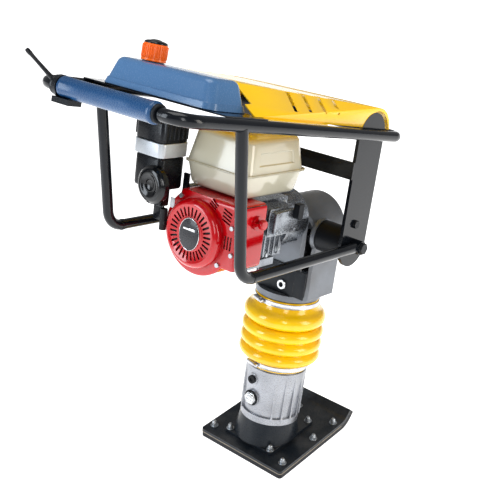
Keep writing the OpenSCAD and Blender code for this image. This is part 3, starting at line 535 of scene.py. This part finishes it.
# ---------------------------------------------------------------- engine
# A small single-cylinder petrol engine hangs behind the crankcase on a cast bell housing, with
# its finned head toward the right side. A rubber cap covers the spark plug.
engine_alloy = finish("engine_alloy", (0.4, 0.43, 0.47), (0.2, 0.21, 0.23), (0.16, 0.34), 0.85, 0.0,
                      480.0, 22.0, 0.0008, (0.6, 0.62, 0.64), 0.0014, 0.0)
paint(engine_alloy, "engine_block", "bell_housing", "carburetor")
paint(black_rubber, "spark_plug")
paint(dark_paint, "muffler")
head_parts = [block((0.07, 0.0465, 0.044), (-0.227, -0.08575, 0.681))]
for fin in range(7):
    plate = block((0.096, 0.0026, 0.064), (-0.227, -0.0695 - fin * 0.0065, 0.681))
    pick(plate, lambda c, d: abs(d.y) > 0.9, "EDGE")
    bpy.ops.mesh.bevel(offset=0.008, segments=4, affect="EDGES")
    bpy.ops.object.mode_set(mode="OBJECT")
    head_parts.append(soften(plate, 0.0006))
rocker = block((0.082, 0.0145, 0.054), (-0.227, -0.1165, 0.682))
pick(rocker, lambda c, d: abs(d.y) > 0.9, "EDGE")
bpy.ops.mesh.bevel(offset=0.01, segments=5, affect="EDGES")
bpy.ops.object.mode_set(mode="OBJECT")
head_parts.append(soften(rocker, 0.0025, 3))
for head_u in (-0.258, -0.196):
    for head_v in (0.662, 0.702):
        head_parts.append(soften(rod(0.0055, 0.0045, (head_u, -0.1232, head_v), "Y", 6), 0.0006))
cylinder_head = join_up(head_parts)
dress(settle(cylinder_head, leg), "finned_head", engine_alloy, "machine", 30.0)
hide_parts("cylinder_head")
bolt_parts = []
for bolt_u, bolt_v in ((-0.164, 0.592), (-0.164, 0.702), (-0.278, 0.588), (-0.205, 0.584)):
    bolt_parts.append(soften(rod(0.0065, 0.005, (bolt_u, -0.0645, bolt_v), "Y", 6), 0.0007))
    bolt_parts.append(soften(rod(0.0088, 0.0018, (bolt_u, -0.0628, bolt_v), "Y"), 0.0004))
dress(settle(join_up(bolt_parts), leg), "engine_bolts", zinc, "machine", 30.0)

# ---------------------------------------------------------------- fan shroud
# The glossy red fan shroud is a deep moulding: round around the fan, with a square shoulder that
# leads the air to the head. It has three groups of louvres, and screws hold it.
red_shell = finish("red_shell", (0.5, 0.0, 0.006), (0.43, 0.0, 0.005), (0.1, 0.2), 0.0, 0.6, 260.0,
                   6.0, 0.0001, (0.6, 0.05, 0.06), 0.0015, 0.0)
shroud = rod(0.096, 0.086, (-0.339, 0.0, 0.645), "X", 128)
pick(shroud, lambda c, d: c.x < -0.3815, "EDGE")
bpy.ops.mesh.bevel(offset=0.007, segments=5, affect="EDGES")
shoulder = block((0.086, 0.176, 0.1448), (-0.339, -0.028, 0.6594))
pick(shoulder, lambda c, d: abs(d.x) > 0.9 and (c.y < -0.11 or c.z > 0.72), "EDGE")
bpy.ops.mesh.bevel(offset=0.012, segments=6, affect="EDGES")
pick(shoulder, lambda c, d: c.x < -0.3815, "EDGE")
bpy.ops.mesh.bevel(offset=0.007, segments=5, affect="EDGES")
carve(shroud, shoulder, "UNION")
carve(shroud, block((0.1, 0.4, 0.1), (-0.339, 0.0, 0.7817)))
hollow = rod(0.093, 0.1, (-0.329, 0.0, 0.645), "X", 128)
carve(hollow, block((0.12, 0.4, 0.1), (-0.329, 0.0, 0.7788)))
carve(shroud, hollow)
carve(shroud, block((0.1, 0.17, 0.1388), (-0.329, -0.028, 0.6594)))
openings = [rod(0.069, 0.03, (-0.382, 0.0, 0.645), "X", 96)]
louvres = [((0.004, 0.03), (-0.0975 + i * 0.008, 0.648), 0.0) for i in range(3)]
louvres += [((0.026, 0.0038), (-0.078 - i * 0.001, 0.692 + i * 0.0075), 20.0) for i in range(4)]
louvres += [((0.022, 0.0036), (-0.038 - i * 0.003, 0.7155 + i * 0.0048), 32.0) for i in range(3)]
for (wide, tall), (gap_y, gap_v), turn in louvres:
    gap = block((0.02, wide, tall), (0.0, 0.0, 0.0))
    pick(gap, lambda c, d: abs(d.x) > 0.9, "EDGE")
    bpy.ops.mesh.bevel(offset=0.0014, segments=2, affect="EDGES")
    bpy.ops.object.mode_set(mode="OBJECT")
    spun = Matrix.Translation((-0.382, gap_y, gap_v)) @ Matrix.Rotation(radians(turn), 4, "X")
    openings.append(settle(gap, spun))
for opening in openings:
    carve(shroud, opening)
dress(settle(shroud, leg), "red_shroud", red_shell, "machine", 32.0)
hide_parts("fan_shroud")
paint(red_shell, "engine_switch")
paint(zinc, "shroud_screws")
reel_plastic = finish("reel_plastic", (0.02, 0.02, 0.022), None, (0.4, 0.6))
paint(reel_plastic, "starter_pulley", "starter_grip")
label_white = finish("label_white", (0.78, 0.82, 0.86), None, (0.3, 0.45))
label = soften(block((0.0006, 0.013, 0.024), (-0.3822, 0.0785, 0.692)), 0.0002)
dress(settle(label, leg), "shroud_label", label_white, "machine")
knob = soften(rod(0.011, 0.012, (-0.326, -0.1335, 0.693), "Y"), 0.003, 4)
dress(settle(knob, leg), "switch_knob", red_shell, "stop_switch", 40.0)

# ---------------------------------------------------------------- recoil starter
# The red starter cover is a shallow drum with a ring of thirty cooling slots and a plain oval badge
# in the middle. Behind the slots is the dark reel.
engine_turn = leg @ Matrix.Translation((0.0, 0.0, 0.645)) @ Matrix.Rotation(pi / 2, 4, "Y")
cover = lathe([(0.0, -0.4035), (0.0355, -0.4035), (0.0365, -0.4028), (0.0372, -0.4022), (0.0605, -0.4022),
               (0.0632, -0.4038), (0.066, -0.404), (0.0695, -0.4025), (0.0735, -0.3985), (0.076, -0.394),
               (0.076, -0.382), (0.0735, -0.382), (0.0735, -0.392), (0.0705, -0.397), (0.0665, -0.4),
               (0.0, -0.4)], 120)
slots = []
for slot in range(30):
    gap = block((0.0205, 0.0044, 0.012), (0.0489, 0.0, -0.4015))
    pick(gap, lambda c, d: abs(d.z) > 0.9, "EDGE")
    bpy.ops.mesh.bevel(offset=0.0016, segments=2, affect="EDGES")
    slots.append(settle(gap, Matrix.Rotation(slot * pi / 15.0, 4, "Z")))
carve(cover, join_up(slots))
dress(settle(cover, engine_turn), "starter_cover", red_shell, "machine", 32.0)
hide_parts("recoil_cover")
badge_black = finish("badge_black", (0.02, 0.021, 0.026), (0.03, 0.031, 0.036), (0.2, 0.35), 0.0, 0.4)
chrome = finish("chrome", (0.72, 0.73, 0.74), None, (0.1, 0.2), 1.0, 0.0, 800.0, 30.0, 0.0001)
badge = lathe([(0.0, -0.4036), (0.0322, -0.4036), (0.0316, -0.4052), (0.029, -0.4058), (0.0, -0.4062)], 64)
dress(settle(settle(badge, Matrix.Diagonal((1.08, 0.86, 1.0, 1.0))), engine_turn), "starter_badge",
      badge_black, "machine", 50.0)
badge_rim = lathe([(0.0321, -0.4036), (0.034, -0.4036), (0.0338, -0.405), (0.033, -0.4055),
                   (0.0322, -0.405)], 64)
dress(settle(settle(badge_rim, Matrix.Diagonal((1.08, 0.86, 1.0, 1.0))), engine_turn), "badge_rim",
      chrome, "machine", 50.0)
badge_bar = soften(block((0.005, 0.034, 0.001), (-0.0115, 0.0, -0.4064)), 0.0003)
dress(settle(badge_bar, engine_turn), "badge_bar", chrome, "machine")

# ---------------------------------------------------------------- engine tank
# The engine's own fuel tank is pressed from two steel halves, seamed around the middle and
# enamelled cream. The upper half has a shallow pressed panel on its sides.
cream_enamel = finish("cream_enamel", (0.56, 0.54, 0.44), (0.52, 0.5, 0.4), (0.08, 0.16), 0.0, 0.8, 240.0,
                      5.0, 0.0001, (0.45, 0.42, 0.34), 0.002, 0.0)


def tank_half(low, high, shrink_u, shrink_y, wide_at_low):
    half = block((0.212, 0.18, high - low), (-0.249, -0.005, (low + high) / 2.0))
    far_end = high if wide_at_low else low
    pick(half, lambda c, n: abs(c.z - far_end) < 0.001)
    bpy.ops.transform.resize(value=(shrink_u, shrink_y, 1.0), center_override=(-0.249, -0.005, far_end))
    pick(half, lambda c, d: abs(d.z) > 0.5, "EDGE")
    bpy.ops.mesh.bevel(offset=0.024, segments=6, affect="EDGES")
    pick(half, lambda c, d: abs(c.z - far_end) < 0.001, "EDGE")
    bpy.ops.mesh.bevel(offset=0.011, segments=5, affect="EDGES")
    bpy.ops.object.mode_set(mode="OBJECT")
    return half


def seam(middle, thick):
    rim = block((0.222, 0.187, thick), (-0.249, -0.0065, middle))
    pick(rim, lambda c, d: abs(d.z) > 0.9, "EDGE")
    bpy.ops.mesh.bevel(offset=0.024, segments=6, affect="EDGES")
    bpy.ops.object.mode_set(mode="OBJECT")
    return soften(rim, 0.0006)


upper_half = tank_half(0.7895, 0.862, 0.887, 0.867, True)
pick(upper_half, lambda c, n: abs(n.y) > 0.6 and abs(c.x + 0.249) < 0.03 and c.z < 0.85)
bpy.ops.mesh.inset(thickness=0.017, depth=0.0)
bpy.ops.mesh.inset(thickness=0.0022, depth=-0.0022)
bpy.ops.object.mode_set(mode="OBJECT")
upper_half = join_up([upper_half, seam(0.7892, 0.0018)])
dress(settle(upper_half, leg), "cream_tank_top", cream_enamel, "machine", 32.0)
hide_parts("engine_tank_upper")
lower_half = join_up([tank_half(0.734, 0.7875, 0.906, 0.889, False), seam(0.7870, 0.0018)])
dress(settle(lower_half, leg), "cream_tank_base", cream_enamel, "machine", 32.0)
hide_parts("engine_tank_lower")

# ---------------------------------------------------------------- air cleaner
# The air cleaner stands behind the tank on the left: a ribbed black top, a silver band around the
# middle, and a black base with a round glossy bowl. A strap ties it to the engine.
cleaner_plastic = finish("cleaner_plastic", (0.01, 0.012, 0.016), None, (0.2, 0.38), 0.0, 0.2, 500.0,
                         12.0, 0.0004, (0.05, 0.05, 0.055), 0.0014, 0.0)
paint(cleaner_plastic, "throttle_housing")


def rounded_box(size, centre, corner, edge):
    """An upright moulded box with round corners and softened top and bottom edges."""
    box = block(size, centre)
    pick(box, lambda c, d: abs(d.z) > 0.9, "EDGE")
    bpy.ops.mesh.bevel(offset=corner, segments=6, affect="EDGES")
    bpy.ops.object.mode_set(mode="OBJECT")
    return soften(box, edge, 3)


cleaner_y = 0.1325
top_parts = [rounded_box((0.082, 0.088, 0.044), (-0.379, cleaner_y, 0.843), 0.012, 0.003)]
for rib in range(6):
    top_parts.append(rounded_box((0.006, 0.094, 0.042), (-0.413 + rib * 0.013, cleaner_y, 0.85),
                                 0.0024, 0.001))
cleaner_top = join_up(top_parts)
dress(settle(cleaner_top, leg), "cleaner_top", cleaner_plastic, "machine", 32.0)
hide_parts("air_cleaner_top")
cleaner_band = rounded_box((0.088, 0.09, 0.031), (-0.379, cleaner_y, 0.805), 0.015, 0.001)
band_silver = finish("band_silver", (0.6, 0.64, 0.68), (0.55, 0.58, 0.62), (0.25, 0.4), 0.35, 0.2,
                     700.0, 20.0, 0.0001, None, 0.0008)
dress(settle(cleaner_band, leg), "cleaner_band", band_silver, "machine", 32.0)
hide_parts("air_cleaner_band")
base_parts = [rounded_box((0.078, 0.084, 0.073), (-0.379, cleaner_y, 0.752), 0.014, 0.006),
              rounded_box((0.03, 0.04, 0.046), (-0.369, cleaner_y, 0.6945), 0.008, 0.003),
              block((0.006, 0.014, 0.046), (-0.337, 0.0855, 0.729)),
              soften(block((0.005, 0.03, 0.044), (-0.3535, 0.145, 0.652)), 0.001)]
cleaner_base = join_up(base_parts)
dress(settle(cleaner_base, leg), "cleaner_base", cleaner_plastic, "machine", 32.0)
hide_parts("air_cleaner_base")
glossy_black = finish("glossy_black", (0.006, 0.007, 0.009), None, (0.04, 0.12), 0.0, 0.6)
bowl = lathe([(0.0, -0.432), (0.009, -0.432), (0.0115, -0.433), (0.013, -0.436), (0.0215, -0.436),
              (0.0235, -0.4375), (0.0275, -0.438), (0.0345, -0.437), (0.037, -0.4345), (0.0385, -0.432),
              (0.042, -0.4295), (0.042, -0.418), (0.0, -0.418)], 64)
dress(settle(bowl, leg @ Matrix.Translation((0.0, 0.101, 0.731)) @ Matrix.Rotation(pi / 2, 4, "Y")),
      "cleaner_bowl", glossy_black, "machine", 40.0)
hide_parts("air_cleaner_bowl")

# ---------------------------------------------------------------- frame
tube_enamel = finish("tube_enamel", (0.005, 0.0068, 0.0105), (0.008, 0.01, 0.014), (0.1, 0.2), 0.0, 0.3,
                     300.0, 8.0, 0.0003, (0.05, 0.05, 0.05), 0.0012, 0.0)
paint(tube_enamel, "top_loop", "lower_tubes", "side_plates", "cross_members")

# ---------------------------------------------------------------- fuel tank
# The fuel tank is a blue moulded box across the handle frame. Its sides slope inward, its corners
# are round, and a skirt runs around its foot. A short neck on its top carries the cap.
slope = radians(15.6)
loop = Matrix.Translation((0.0, 0.0, 0.903)) @ Matrix.Rotation(slope, 4, "Y")
tank_place = loop @ Matrix.Translation((-0.356, 0.0, 0.0152))
tank_plastic = finish("tank_plastic", (0.085, 0.19, 0.36), (0.075, 0.172, 0.33), (0.2, 0.3), 0.0, 0.25,
                      420.0, 5.0, 0.0002, None, 0.002, 0.0)
tank = block((0.112, 0.296, 0.0565), (0.0, 0.0, 0.02825))
pick(tank, lambda c, n: n.z > 0.9)
bpy.ops.transform.resize(value=(0.76, 0.885, 1.0))
pick(tank, lambda c, d: abs(d.z) > 0.7, "EDGE")
bpy.ops.mesh.bevel(offset=0.021, segments=7, affect="EDGES")
pick(tank, lambda c, d: c.z > 0.05, "EDGE")
bpy.ops.mesh.bevel(offset=0.011, segments=5, affect="EDGES")
cut_through(tank, (0.0, 0.0, 0.0125), (0.0, 0.0, 1.0))
pick(tank, lambda c, n: c.z < 0.0125 and abs(n.z) < 0.7)
bpy.ops.mesh.extrude_region_shrink_fatten(TRANSFORM_OT_shrink_fatten={"value": 0.0022})
pick(tank, lambda c, d: 0.0122 < c.z < 0.0128 and abs(d.z) < 0.2, "EDGE")
bpy.ops.mesh.bevel(offset=0.0011, segments=3, affect="EDGES")
pick(tank, lambda c, n: n.z < -0.9)
bpy.ops.mesh.inset(thickness=0.006, depth=0.0)
bpy.ops.mesh.extrude_region_move(TRANSFORM_OT_translate={"value": (0.0, 0.0, 0.004)})
dress(settle(tank, tank_place), "moulded_tank", tank_plastic, "handle")
tank_neck = lathe([(0.0, 0.05), (0.0235, 0.05), (0.0235, 0.0566), (0.0215, 0.0578), (0.0, 0.0578)], 48)
dress(settle(tank_neck, tank_place @ Matrix.Translation((0.0, 0.068, 0.0))), "tank_neck", tank_plastic,
      "handle")
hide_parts("fuel_tank")

# ---------------------------------------------------------------- tank cap
# The cap is a ribbed orange ring with a black domed vent on top, and it unscrews by hand.
cap_plastic = finish("cap_plastic", (0.9, 0.17, 0.0), (0.85, 0.14, 0.0), (0.28, 0.42), 0.0, 0.2, 500.0,
                     12.0, 0.0002, None, 0.0006)
cap_place = tank_place @ Matrix.Translation((0.0, 0.068, 0.0578))
cap_ring = lathe([(0.0, 0.001), (0.0245, 0.001), (0.0255, 0.002), (0.0255, 0.0045), (0.0248, 0.006),
                  (0.0248, 0.032), (0.0235, 0.0348), (0.0, 0.0348)], 96)
cap_parts = [cap_ring]
for rib in range(36):
    bar = block((0.0018, 0.0022, 0.0255), (0.0253, 0.0, 0.0193))
    pick(bar, lambda c, d: c.x > 0.0255, "EDGE")
    bpy.ops.mesh.bevel(offset=0.0006, segments=2, affect="EDGES")
    cap_parts.append(settle(bar, Matrix.Rotation(rib * 2.0 * pi / 36.0, 4, "Z")))
cap = join_up(cap_parts)
dress(settle(cap, cap_place), "cap_ring", cap_plastic, "cap")
vent = lathe([(0.0, 0.0348), (0.0236, 0.0348), (0.024, 0.036), (0.0225, 0.0385), (0.0175, 0.0405),
              (0.0125, 0.0413), (0.0085, 0.0428), (0.005, 0.0434), (0.0, 0.0436)], 64)
vent_black = finish("vent_black", (0.008, 0.009, 0.012), None, (0.12, 0.25), 0.0, 0.4, 500.0, 12.0, 0.0002)
dress(settle(vent, cap_place), "cap_vent", vent_black, "cap", 50.0)
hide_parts("tank_cap")

# ---------------------------------------------------------------- hood
# The hood is a sheet of yellow steel from the tank to the front bar. Its front is rolled about a
# crosswise axis, its back rises to a low ridge, and four slots are cut in each side.
yellow_enamel = finish("yellow_enamel", (0.93, 0.58, 0.0), (0.9, 0.53, 0.0), (0.14, 0.26), 0.0, 0.5,
                       240.0, 5.0, 0.0002, (0.7, 0.46, 0.02), 0.0014, 0.0)
roll_s, roll_n, roll_r = 0.1308, -0.0016, 0.062
hood_width, ridge_width, hood_back = 0.36, 0.192, -0.3175
slot_start, slot_pitch = -0.1723, 0.0481
hood = join_up([rod(roll_r, hood_width, (roll_s, 0.0, roll_n), "Y", 96),
                block((0.001, hood_width, 0.001), (hood_back, 0.0, 0.0145)),
                block((0.001, ridge_width, 0.054), (hood_back, 0.0, 0.041))])
alone(hood)
bpy.ops.object.mode_set(mode="EDIT")
bpy.ops.mesh.select_all(action="SELECT")
bpy.ops.mesh.convex_hull()
bpy.ops.mesh.select_all(action="SELECT")
bpy.ops.mesh.normals_make_consistent(inside=False)
bpy.ops.mesh.dissolve_limited(angle_limit=radians(0.5))
bpy.ops.object.mode_set(mode="OBJECT")
alone(hood)
bpy.ops.object.duplicate()
hollow = alone(bpy.context.object)
bpy.ops.object.mode_set(mode="EDIT")
bpy.ops.mesh.select_all(action="SELECT")
bpy.ops.transform.resize(value=(0.9921, 0.9889, 1.0), center_override=(-0.06, 0.0, 0.0))
bpy.ops.transform.translate(value=(-0.004, 0.0, -0.002))
carve(hood, hollow)
carve(hood, block((1.2, 0.6, 0.2), (0.0, 0.0, -0.0865)))
carve(hood, rod(0.0545, 0.5, (roll_s, 0.0, roll_n), "Y", 96))
slots = []
for side_y in (-1.0, 1.0):
    turned = Matrix.Rotation(radians(24.0 * side_y), 4, "Z") @ Matrix.Rotation(radians(35.0 * side_y), 4, "X")
    for slot in range(4):
        gap = block((0.0105, 0.034, 0.058), (0.0, 0.0, 0.0))
        place = Matrix.Translation((slot_start + slot_pitch * slot, 0.1523 * side_y, 0.0507))
        slots.append(settle(gap, place @ turned))
carve(hood, join_up(slots))
carve(hood, block((0.04, 0.3, 0.2), (-0.3192, 0.0, 0.06)))
carve(hood, block((0.06, 0.5, 0.01), (-0.3233, 0.0, 0.0104)))
soften(hood, 0.0007, 2, 14.0)
dress(settle(hood, loop), "yellow_hood", yellow_enamel, "handle", 30.0)
for side_y in (-1.0, 1.0):
    strip = soften(block((0.205, 0.016, 0.002), (-0.190, 0.1845 * side_y, 0.0137)), 0.0006)
    name = "hood_strip_left" if side_y > 0 else "hood_strip_right"
    dress(settle(strip, loop), name, yellow_enamel, "handle")
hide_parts("hood")

# ---------------------------------------------------------------- handle grip
# A thick blue rubber sleeve covers the handle bar. A black ring ends it on the right, and the
# throttle sits on the left, with a rod to pull up and a ball at its end.
grip_rubber = finish("grip_rubber", (0.016, 0.08, 0.2), (0.012, 0.062, 0.16), (0.2, 0.34), 0.0, 0.2,
                     420.0, 14.0, 0.0004, None, 0.001, 0.0)
bar_place = loop @ Matrix.Translation((-0.524, 0.0, 0.0)) @ Matrix.Rotation(-pi / 2, 4, "X")
grip_shape = [(0.0127, -0.129), (0.0185, -0.129), (0.0205, -0.1265), (0.0205, -0.119), (0.0198, -0.1165),
              (0.0196, -0.06), (0.0196, 0.06), (0.0198, 0.111), (0.0205, 0.113), (0.0205, 0.1195),
              (0.0187, 0.1215), (0.0127, 0.1215)]
sleeve = lathe(grip_shape, 64)
dress(settle(sleeve, bar_place), "grip_sleeve", grip_rubber, "handle", 60.0)
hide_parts("grip")
end_ring = lathe([(0.0127, -0.1365), (0.0165, -0.1365), (0.0172, -0.1355), (0.0172, -0.1298),
                  (0.0127, -0.1298)], 48)
dress(settle(end_ring, bar_place), "grip_end_ring", black_rubber, "handle")
lever_parts = [lathe([(0.0126, 0.1336), (0.0175, 0.1336), (0.019, 0.1352), (0.019, 0.142), (0.0175, 0.1434),
                      (0.0126, 0.1434)], 48)]
arm_turn = (Matrix.Translation((0.0, 0.139, 0.0)) @ Matrix.Rotation(radians(-46.0), 4, "Y")
            @ Matrix.Rotation(radians(-22.0), 4, "X"))
arm = lathe([(0.0, 0.015), (0.0052, 0.015), (0.0042, 0.03), (0.0036, 0.06), (0.0038, 0.072),
             (0.0046, 0.078), (0.0045, 0.084), (0.0032, 0.0868), (0.0, 0.0868)], 24)
settle(arm, arm_turn)
settle(lever_parts[0], Matrix.Rotation(-pi / 2, 4, "X"))
lever = join_up([lever_parts[0], arm])
dress(settle(lever, loop @ Matrix.Translation((-0.524, 0.0, 0.0))), "throttle_rod", cleaner_plastic,
      "throttle", 45.0)
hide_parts("throttle_lever")
